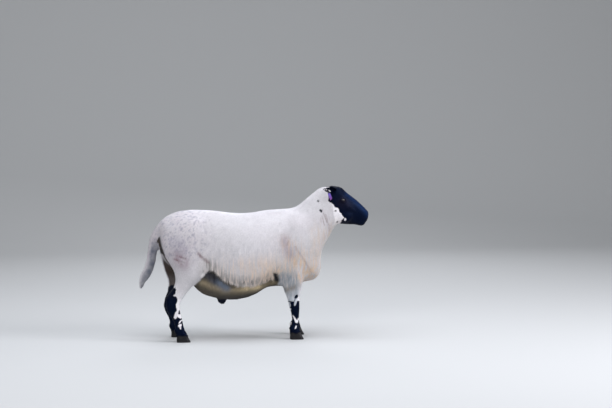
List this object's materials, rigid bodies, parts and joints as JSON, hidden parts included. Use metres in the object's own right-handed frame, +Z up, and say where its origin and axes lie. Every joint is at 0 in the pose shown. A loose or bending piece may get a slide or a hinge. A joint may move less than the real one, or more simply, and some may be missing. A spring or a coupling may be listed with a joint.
{
  "type": "standing sheep model",
  "caption": "Life-size still model of a shorn white ram with a black face, ears and lower legs, standing square with its head raised and a small plastic tag in one ear.",
  "frame": {"origin": "on the ground under the middle of the animal's bounding box", "axes": "+X forwards, from tail to nose; +Z up; the animal's right side faces -Y"},
  "size_m": [1.2986, 0.3882, 0.8561],
  "materials": {
    "fleece": "short shorn wool, cream white, matte",
    "black_hair": "short flat hair, blue black, faint sheen",
    "horn": "dark hoof horn, satin",
    "eye": "wet glossy eyeball, brown with a level slot pupil",
    "tag_plastic": "flexible violet plastic, satin",
    "bare_skin": "bare wrinkled skin, matte"
  },
  "bodies": {
    "root": {"neck": "fleece", "chest": "fleece", "barrel": "fleece", "rump": "fleece", "tail": "fleece", "scrotum": "fleece", "foreleg_right_upper": "fleece", "foreleg_left_upper": "fleece", "hind_leg_right_upper": "fleece", "hind_leg_left_upper": "fleece", "head": "black_hair", "muzzle": "black_hair", "ear_right": "black_hair", "ear_left": "black_hair", "foreleg_right_lower": "black_hair", "foreleg_left_lower": "black_hair", "hind_leg_right_lower": "black_hair", "hind_leg_left_lower": "black_hair", "hoof_fore_right_inner": "horn", "hoof_fore_right_outer": "horn", "hoof_fore_left_inner": "horn", "hoof_fore_left_outer": "horn", "hoof_hind_right_inner": "horn", "hoof_hind_right_outer": "horn", "hoof_hind_left_inner": "horn", "hoof_hind_left_outer": "horn", "eye_right": "eye", "eye_left": "eye", "ear_tag": "tag_plastic", "prepuce": "bare_skin"}
  },
  "joints": []
}
